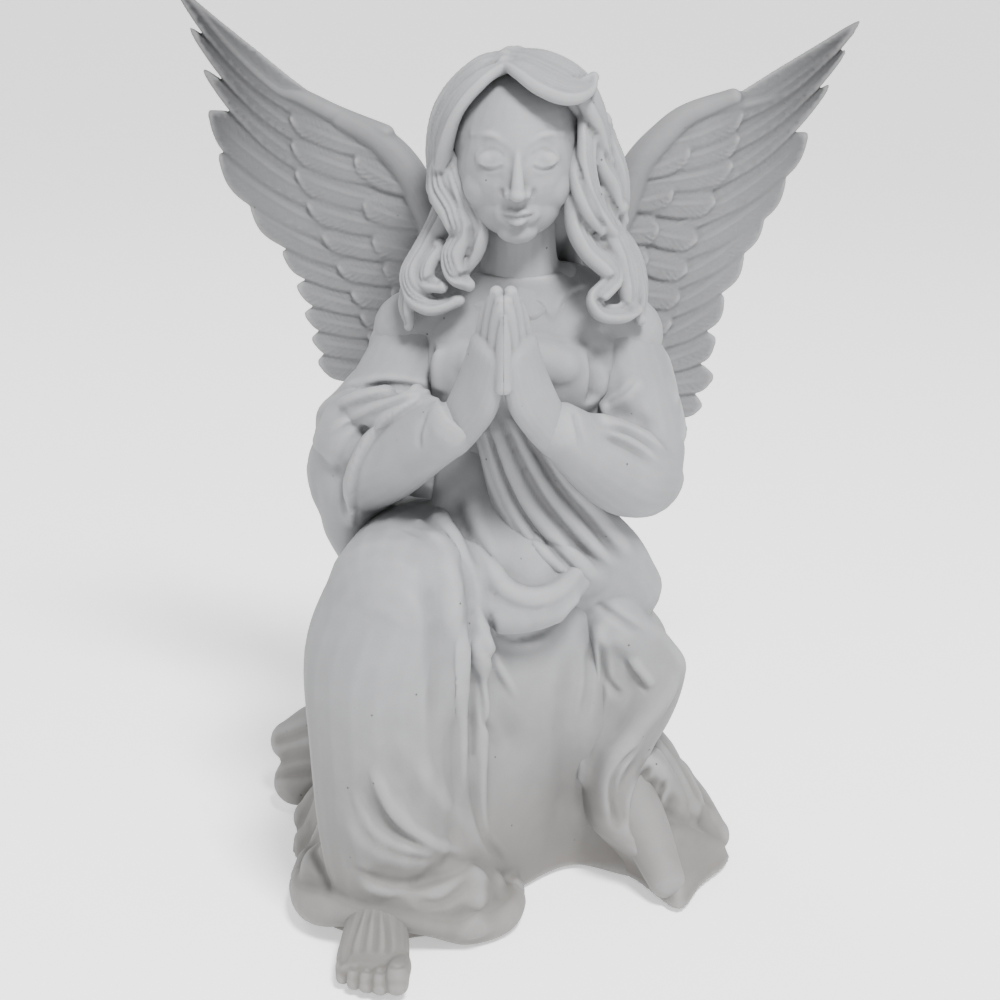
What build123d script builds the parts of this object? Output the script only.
"""A kneeling, praying angel figurine in cast resin, built as its separate castings and fittings.

The castings are made apart, because hands, wings and a bowed head can't leave one mould together,
then pinned with steel dowels, bonded and painted. The skirt is hollow and closed underneath.

Frame: millimetres, +Z up, the angel faces -Y. The origin is on the surface it stands on, below the
middle of its overall box. Left and right are the angel's own, so her right side is at -X.
"""

import os
from build123d import *

os.makedirs("parts", exist_ok=True)

# Overall
FOOT_REACH = 130.0  # centre to the toes in front, and to the train behind
PAD_HEIGHT = 2.0  # felt pads under the skirt

# Levels
SKIRT_BASE = PAD_HEIGHT
DECK_Z = 160.0  # top of the hollow in the skirt
WAIST_Z = 180.0  # joint between skirt and torso
NECK_Z = 300.0  # joint between torso and head
SEAT_Y = 44.0  # flat on the back that the wings are bonded to

# Main points of the body
HIP = (-24.0, 14.0, 138.0)
KNEE = (-62.0, -56.0, 156.0)
ANKLE = (-64.0, -52.0, SKIRT_BASE)
KNEE_RADIUS = 40.0
TORSO_X = -2.0
RIGHT_SHOULDER = (-46.0, 18.0, 266.0)
RIGHT_ELBOW = (-74.0, -8.0, 205.0)
RIGHT_WRIST = (-31.0, -60.0, 243.0)
LEFT_SHOULDER = (44.0, 18.0, 262.0)
LEFT_ELBOW = (54.0, -10.0, 208.0)
LEFT_WRIST = (17.0, -58.0, 243.0)
HANDS_X = -8.0  # plane where the palms meet
FINGERTIP = (HANDS_X, -76.0, 312.0)
PALM_Z = 262.0
WING_ROOT_X = 16.0
WING_ROOT_Z = 268.0

# Castings
PALM_GAP = 0.3  # between the two hands, filled with adhesive
BASE_CENTRE = (-12.0, 44.0)
BASE_WIDTH = 74.0  # half the plate's width
BASE_DEPTH = 60.0  # half its depth
BASE_LEDGE = 5.0  # rim of the hollow that the plate rests against
BASE_PLATE = 4.0  # thickness
BASE_INSET = 0.2  # clearance of the plate in its recess
PLUG_RADIUS = 9.0
PLUG_HEAD = 1.2
PLUG_LENGTH = 8.0
DOWEL_CLEARANCE = 0.05
DOWEL_RADIUS = 3.0
THIN_DOWEL_RADIUS = 1.5
PAD_RADIUS = 7.0


def outline(level, points):
    """A closed smooth outline through points, on a level plane."""
    with BuildSketch(Plane.XY.offset(level)) as sketch:
        with BuildLine():
            Spline(*points, periodic=True)
        make_face()
    return sketch.sketch


def level_ellipse(level, centre, width, depth):
    """An ellipse of half width and half depth about centre, on a level plane."""
    with BuildSketch(Plane.XY.offset(level)) as sketch:
        with Locations(centre):
            Ellipse(width, depth)
    return sketch.sketch


def cross_section(centre, along, radius):
    """A circle about centre, square to the direction along."""
    with BuildSketch(Plane(origin=centre, z_dir=along)) as sketch:
        Circle(radius)
    return sketch.sketch


def add_limb(points, radii):
    """Adds round limbs that taper from point to point, with a ball at each joint."""
    for start, end, near, far in zip(points, points[1:], radii, radii[1:]):
        along = Vector(*end) - Vector(*start)
        loft([cross_section(start, along, near), cross_section(end, along, far)])
    for point, radius in zip(points, radii):
        with Locations(point):
            Sphere(radius)


def dowel(start, along, length, radius):
    """A steel dowel from start, in the direction along."""
    with BuildPart() as pin:
        with BuildSketch(Plane(origin=start, z_dir=along)):
            Circle(radius)
        extrude(amount=length)
    return pin.part


def dowel_hole(start, along, length, radius):
    """The hole for a dowel, wider by the clearance."""
    return dowel(start, along, length, radius + DOWEL_CLEARANCE)


# Dowels: (start, direction, length, radius), shared by the holes and the pins themselves
WAIST_DOWELS = [((TORSO_X + side * 20, 18, WAIST_Z - 14), (0, 0, 1), 28, DOWEL_RADIUS) for side in (-1, 1)]
NECK_DOWELS = [((-1, 8, NECK_Z - 16), (0, 0, 1), 32, DOWEL_RADIUS)]
WING_DOWELS = {
    side: [
        ((side * WING_ROOT_X, SEAT_Y - 12, WING_ROOT_Z + rise), (0, 1, 0), 20, DOWEL_RADIUS)
        for rise in (-14, 12)
    ]
    for side in (-1, 1)
}
SHOULDER_DOWELS = {
    -1: [((-52, 14, 256), (1, 0, 0), 26, DOWEL_RADIUS)],
    1: [((50, 14, 252), (-1, 0, 0), 26, DOWEL_RADIUS)],
}
WRIST_DOWELS = {
    -1: [((-40, -54, 240), (24, -14, 12), 22, THIN_DOWEL_RADIUS)],
    1: [((26, -52, 240), (-24, -14, 12), 22, THIN_DOWEL_RADIUS)],
}
FOOT_DOWELS = [((-65, -60, 11), (0, -1, 0), 40, DOWEL_RADIUS)]


def cut_dowel_holes(dowels):
    """Cuts the dowels' holes out of the part being built."""
    for start, along, length, radius in dowels:
        add(dowel_hole(start, along, length, radius), mode=Mode.SUBTRACT)


def write(part, label):
    """Labels a finished piece and writes it under that name."""
    part.label = label
    export_step(part, f"parts/{label}.step")


# Outlines of the skirt, counter-clockwise from her right, level by level
SKIRT_OUTLINES = {
    SKIRT_BASE: [(-108, -38), (-84, -78), (-38, -80), (0, -36), (34, -16), (74, -50), (106, 0),
                 (84, 62), (38, 108), (-22, 126), (-84, 102), (-124, 58)],
    34.0: [(-104, -34), (-86, -84), (-42, -90), (-4, -56), (34, -46), (64, -38), (82, 4),
           (72, 56), (32, 92), (-22, 104), (-74, 84), (-104, 42)],
    90.0: [(-96, -30), (-84, -78), (-42, -84), (-6, -60), (28, -50), (54, -30), (66, 4),
           (58, 44), (26, 66), (-18, 72), (-62, 60), (-90, 24)],
    140.0: [(-66, -22), (-60, -48), (-34, -56), (-6, -48), (22, -38), (44, -20), (54, 6),
            (46, 36), (22, 52), (-14, 56), (-46, 46), (-62, 18)],
    WAIST_Z: [(-40, 8), (-38, -8), (-26, -16), (-8, -20), (12, -18), (30, -10), (38, 6),
              (36, 28), (20, 44), (-8, 48), (-28, 42), (-38, 26)],
}
# Torso: waist to neck, with a flat seat on the back for the wings
with BuildPart() as torso:
    loft(
        [
            outline(WAIST_Z, SKIRT_OUTLINES[WAIST_Z]),
            level_ellipse(208, (TORSO_X + 1, 15), 40, 31),
            level_ellipse(240, (TORSO_X + 1, 14), 50, 34),
            level_ellipse(266, (TORSO_X + 1, 15), 51, 31),
            level_ellipse(286, (TORSO_X + 1, 13), 36, 23),
            level_ellipse(NECK_Z, (TORSO_X + 1, 8), 19, 17),
        ]
    )
    with BuildSketch(Plane.XZ.offset(-SEAT_Y)):
        with Locations((0, WING_ROOT_Z)):
            RectangleRounded(68, 56, 12)
    extrude(amount=18)
    split(bisect_by=Plane.XZ.offset(-SEAT_Y), keep=Keep.TOP)
    cut_dowel_holes(WAIST_DOWELS + NECK_DOWELS)
    for side in (-1, 1):
        cut_dowel_holes(WING_DOWELS[side] + SHOULDER_DOWELS[side])
write(torso.part, "torso_casting")

# Skirt: hollow, round the kneeling left leg and the raised right knee
with BuildPart() as skirt:
    loft([outline(level, points) for level, points in SKIRT_OUTLINES.items()])
    add_limb([ANKLE, KNEE, HIP], [KNEE_RADIUS - 8, KNEE_RADIUS, KNEE_RADIUS - 6])
    split(bisect_by=Plane.XY.offset(SKIRT_BASE), keep=Keep.TOP)
    # the hollow, then the recess that the base plate sits in
    loft(
        [
            level_ellipse(SKIRT_BASE, BASE_CENTRE, BASE_WIDTH - BASE_LEDGE, BASE_DEPTH - BASE_LEDGE),
            level_ellipse(60, (-8, 20), 62, 54),
            level_ellipse(110, (-6, 10), 50, 44),
            level_ellipse(DECK_Z, (-6, 8), 34, 30),
        ],
        mode=Mode.SUBTRACT,
    )
    add(level_ellipse(SKIRT_BASE, BASE_CENTRE, BASE_WIDTH, BASE_DEPTH))
    extrude(amount=BASE_PLATE, mode=Mode.SUBTRACT)
    add(torso.part, mode=Mode.SUBTRACT)
    cut_dowel_holes(WAIST_DOWELS + FOOT_DOWELS)
write(skirt.part, "skirt_casting")

# Base plate, with a hole that drains and vents the hollow, and its rubber plug
with BuildPart() as base_plate:
    add(level_ellipse(SKIRT_BASE, BASE_CENTRE, BASE_WIDTH - BASE_INSET, BASE_DEPTH - BASE_INSET))
    extrude(amount=BASE_PLATE - BASE_INSET)
    with Locations((*BASE_CENTRE, SKIRT_BASE)):
        Cylinder(PLUG_RADIUS, 3 * BASE_PLATE, mode=Mode.SUBTRACT)
write(base_plate.part, "base_plate")

with BuildPart() as plug:
    with Locations((*BASE_CENTRE, SKIRT_BASE - PLUG_HEAD)):
        Cylinder(PLUG_RADIUS + 3, PLUG_HEAD, align=(Align.CENTER, Align.CENTER, Align.MIN))
        Cylinder(PLUG_RADIUS - DOWEL_CLEARANCE, PLUG_LENGTH, align=(Align.CENTER, Align.CENTER, Align.MIN))
    fillet(plug.edges().filter_by(GeomType.CIRCLE).group_by(Axis.Z)[-1], 1.5)
write(plug.part, "drain_plug")

# Felt pads, on the rim of the skirt
PAD_PLACES = [(-66, -66), (85, -8), (36, 91), (-104, 70)]
with BuildPart() as pads:
    with Locations(*PAD_PLACES):
        Cylinder(PAD_RADIUS, PAD_HEIGHT, align=(Align.CENTER, Align.CENTER, Align.MIN))
write(pads.part, "felt_pads")

# Arms in their sleeves; the right one carries the end of the mantle over the elbow
with BuildPart() as right_arm:
    add_limb([RIGHT_SHOULDER, RIGHT_ELBOW, RIGHT_WRIST], [19, 22, 12])
    loft(
        [
            level_ellipse(168, (-80, -2), 5, 9),
            level_ellipse(186, (-79, -2), 13, 24),
            level_ellipse(206, (-78, -2), 17, 29),
            level_ellipse(226, (-74, 1), 17, 26),
            level_ellipse(242, (-68, 6), 12, 17),
        ]
    )
    add([torso.part, skirt.part], mode=Mode.SUBTRACT)
    cut_dowel_holes(SHOULDER_DOWELS[-1] + WRIST_DOWELS[-1])
write(right_arm.part, "right_arm_casting")

with BuildPart() as left_arm:
    add_limb([LEFT_SHOULDER, LEFT_ELBOW, LEFT_WRIST], [21, 23, 12.5])
    add([torso.part, skirt.part], mode=Mode.SUBTRACT)
    cut_dowel_holes(SHOULDER_DOWELS[1] + WRIST_DOWELS[1])
write(left_arm.part, "left_arm_casting")

# Hands: pressed together, little fingers outermost, thumbs towards the chest
FINGERS = [  # (depth of the knuckle, height of the tip, radius) from little finger to forefinger
    (-12, 296, 4.4),
    (-4, 307, 4.8),
    (4, 312, 5.0),
    (12, 307, 4.8),
]
with BuildPart() as hand_form:  # her right hand, before it is cut back from the sleeve
    palm_y = FINGERTIP[1] + 5
    wrist = (HANDS_X - 21, palm_y + 10, PALM_Z - 17)
    heel = (HANDS_X - 9, palm_y + 3, PALM_Z + 2)
    palm = (HANDS_X - 6, palm_y, PALM_Z + 18)
    add_limb([wrist, heel, palm], [9, 13, 12])
    for depth, tip_z, radius in FINGERS:
        knuckle = (HANDS_X - 8, palm_y + depth, PALM_Z + 16)
        fingertip = (HANDS_X - 3.5, palm_y + 0.45 * depth - 2, tip_z - radius)
        add_limb([knuckle, fingertip], [radius + 1.2, radius - 0.8])
    add_limb([(HANDS_X - 6, palm_y + 16, PALM_Z + 4), (HANDS_X - 4, palm_y + 20, PALM_Z + 26)], [6, 4])
    split(bisect_by=Plane.YZ.offset(HANDS_X - PALM_GAP / 2), keep=Keep.BOTTOM)

with BuildPart() as right_hand:
    add(hand_form.part)
    add(right_arm.part, mode=Mode.SUBTRACT)
    cut_dowel_holes(WRIST_DOWELS[-1])
write(right_hand.part, "right_hand_casting")

with BuildPart() as left_hand:
    add(hand_form.part.mirror(Plane.YZ.offset(HANDS_X)))
    add(left_arm.part, mode=Mode.SUBTRACT)
    cut_dowel_holes(WRIST_DOWELS[1])
write(left_hand.part, "left_hand_casting")

# Head: neck, face and hair in one casting, with long locks that lie on the shoulders
LOCKS = [  # (points, radii) of the hair in front of each shoulder
    ([(-35, 4, 338), (-36, -12, 316), (-40, -16, 300), (-50, -10, 284)], [11, 9, 9, 6]),
    ([(36, 6, 340), (40, -4, 318), (40, -14, 300), (50, -8, 288)], [12, 10, 9, 6]),
]
with BuildPart() as head:
    add_limb([(-1, 8, NECK_Z), (-1, 4, 330)], [17, 17])
    split(bisect_by=Plane.XY.offset(NECK_Z), keep=Keep.TOP)
    loft(
        [
            level_ellipse(323, (-2, -20), 9, 9),
            level_ellipse(334, (-2, -10), 21, 22),
            level_ellipse(354, (-1, -4), 28, 30),
            level_ellipse(376, (-1, 2), 28, 30),
            level_ellipse(392, (-1, 8), 16, 18),
        ]
    )
    loft(
        [
            level_ellipse(306, (0, 28), 30, 10),
            level_ellipse(330, (0, 22), 41, 22),
            level_ellipse(354, (0, 15), 43, 32),
            level_ellipse(378, (0, 11), 34, 31),
            level_ellipse(392, (-1, 10), 19, 20),
            level_ellipse(398.5, (-1, 10), 5, 6),
        ]
    )
    for points, radii in LOCKS:
        add_limb(points, radii)
    add([torso.part, right_arm.part, left_arm.part], mode=Mode.SUBTRACT)
    cut_dowel_holes(NECK_DOWELS)
write(head.part, "head_casting")

# Mantle: a sash over the belly to the left hip, and the fall of cloth at her left side
with BuildPart() as mantle:
    loft(
        [
            level_ellipse(22, (62, -24), 20, 26),
            level_ellipse(70, (46, -14), 19, 27),
            level_ellipse(112, (52, -6), 22, 30),
            level_ellipse(146, (42, 0), 18, 30),
            level_ellipse(176, (26, -2), 18, 24),
            level_ellipse(206, (10, -10), 20, 14),
            level_ellipse(232, (-4, -16), 13, 7),
        ]
    )
    add([skirt.part, torso.part, left_arm.part, right_arm.part], mode=Mode.SUBTRACT)
    add([right_hand.part, left_hand.part], mode=Mode.SUBTRACT)
mantle_casting = mantle.part.solids().sort_by(SortBy.VOLUME)[-1]  # without the slivers left by the cuts
write(mantle_casting, "mantle_casting")

# Right foot, under the hem
TOES = [  # (x, y of the tip, radius) from little toe to big toe
    (-80, -119, 3.4),
    (-74.5, -124, 3.8),
    (-68.5, -127, 4.0),
    (-62.5, -129, 4.2),
    (-55.5, -FOOT_REACH, 5.2),
]
with BuildPart() as foot:
    with BuildSketch(Plane.XZ.offset(66)):
        with Locations((-66, 8)):
            Ellipse(15, 22)
    with BuildSketch(Plane.XZ.offset(96)):
        with Locations((-66, 6)):
            Ellipse(16, 16)
    with BuildSketch(Plane.XZ.offset(118)):
        with Locations((-67, 4)):
            Ellipse(15.5, 7.5)
    loft()
    for x, y, radius in TOES:
        add_limb([(x, -108, 6), (x, y + radius, SKIRT_BASE + radius)], [radius + 1, radius])
    split(bisect_by=Plane.XY.offset(SKIRT_BASE), keep=Keep.TOP)
    add(skirt.part, mode=Mode.SUBTRACT)
    cut_dowel_holes(FOOT_DOWELS)
foot_casting = foot.part.solids().sort_by(SortBy.VOLUME)[-1]
write(foot_casting, "right_foot_casting")

# Wings: a blade with a thick leading edge and two rows of feathers in relief on both faces.
# Points are (distance from the centre line, height) in the wing's own plane.
WING_SWEEP = 12.0  # degrees that each wing turns back from the shoulders
BLADE = 4.0  # thickness
BLADE_Y = SEAT_Y + 5  # front face of the blade
FEATHER_RELIEF = 1.3
LEADING_EDGE = {
    -1: [(18, 262), (36, 306), (52, 334), (76, 356), (104, 372)],
    1: [(18, 262), (36, 310), (54, 342), (78, 363), (102, 371)],
}
PRIMARY_TIPS = {
    -1: [(163, 414), (151, 361), (146, 335), (129, 307), (112, 284), (107, 268), (107, 256),
         (103, 244), (99, 231), (90, 218)],
    1: [(163, 400), (149, 358), (132, 329), (119, 304), (106, 287), (98, 273), (96, 258),
        (96, 240), (94, 223), (84, 205)],
}
COVERT_REACH = 0.62  # coverts reach this share of the primaries' length
WEB_REACH = 0.5  # share of their length over which the feathers are joined in one web


def feather(root, tip, width):
    """A leaf-shaped feather: narrow at its root, widest near its rounded tip."""
    root, tip = Vector(*root), Vector(*tip)
    along = tip - root
    across = Vector(-along.Y, along.X).normalized() * (width / 2)
    points = [root + across * 0.5, root + along * 0.45 + across, root + along * 0.85 + across * 0.9, tip]
    back = [root + along * 0.85 - across * 0.9, root + along * 0.45 - across, root - across * 0.5]
    with BuildSketch() as sketch:
        with BuildLine():
            Spline(*points, *back)
            Line(back[-1], points[0])
        make_face()
    return sketch.sketch


def wing(side):
    """One wing, spread to side, with its root flat against the seat on the back."""
    tips = PRIMARY_TIPS[side]
    edge = LEADING_EDGE[side]
    roots = [edge[3], edge[3], edge[2], edge[2], edge[1], edge[1], edge[0], edge[0], edge[0], edge[0]]
    with BuildPart() as blade:
        for reach, width, relief in [(1.0, 30, 0.0), (COVERT_REACH, 26, FEATHER_RELIEF)]:
            for i, (root, tip) in enumerate(zip(roots, tips)):
                lift = relief + (i % 2) * 0.5 * FEATHER_RELIEF
                end = tuple(a + (b - a) * reach for a, b in zip(root, tip))
                near, far = (side * root[0], root[1]), (side * end[0], end[1])
                with BuildSketch(Plane.XZ.offset(-BLADE_Y + lift)):
                    add(feather(near, far, width))
                extrude(amount=-(BLADE + 2 * lift))
        inner_ends = [tuple(a + (b - a) * WEB_REACH for a, b in zip(r, t)) for r, t in zip(roots, tips)]
        with BuildSketch(Plane.XZ.offset(-BLADE_Y)):
            with BuildLine():
                Polyline(*[(side * u, v) for u, v in edge[:4] + inner_ends], close=True)
            make_face()
        extrude(amount=-BLADE)
        spine = [(side * u, BLADE_Y + BLADE / 2, v) for u, v in edge]
        add_limb(spine, [9, 8, 7.5, 6.5, 4])
    turned = blade.part.rotate(Axis((side * WING_ROOT_X, SEAT_Y, 0), (0, 0, 1)), side * WING_SWEEP)
    with BuildPart() as made:
        add(turned)
        with BuildSketch(Plane.XZ.offset(-SEAT_Y)):
            with Locations((side * WING_ROOT_X, WING_ROOT_Z)):
                RectangleRounded(30, 50, 8)
        extrude(amount=-12)
        split(bisect_by=Plane.XZ.offset(-SEAT_Y), keep=Keep.BOTTOM)
        split(bisect_by=Plane.YZ.offset(side * PALM_GAP), keep=Keep.TOP if side > 0 else Keep.BOTTOM)
        add(head.part, mode=Mode.SUBTRACT)
        cut_dowel_holes(WING_DOWELS[side])
    return made.part.solids().sort_by(SortBy.VOLUME)[-1]


for side, name in ((-1, "right"), (1, "left")):
    write(wing(side), f"{name}_wing_casting")

# Steel dowels, one node for each joint
DOWEL_SETS = {
    "waist_dowels": WAIST_DOWELS,
    "neck_dowel": NECK_DOWELS,
    "right_wing_dowels": WING_DOWELS[-1],
    "left_wing_dowels": WING_DOWELS[1],
    "right_shoulder_dowel": SHOULDER_DOWELS[-1],
    "left_shoulder_dowel": SHOULDER_DOWELS[1],
    "right_wrist_dowel": WRIST_DOWELS[-1],
    "left_wrist_dowel": WRIST_DOWELS[1],
    "foot_dowel": FOOT_DOWELS,
}
for name, dowels in DOWEL_SETS.items():
    write(Compound(children=[dowel(*sizes) for sizes in dowels]), name)
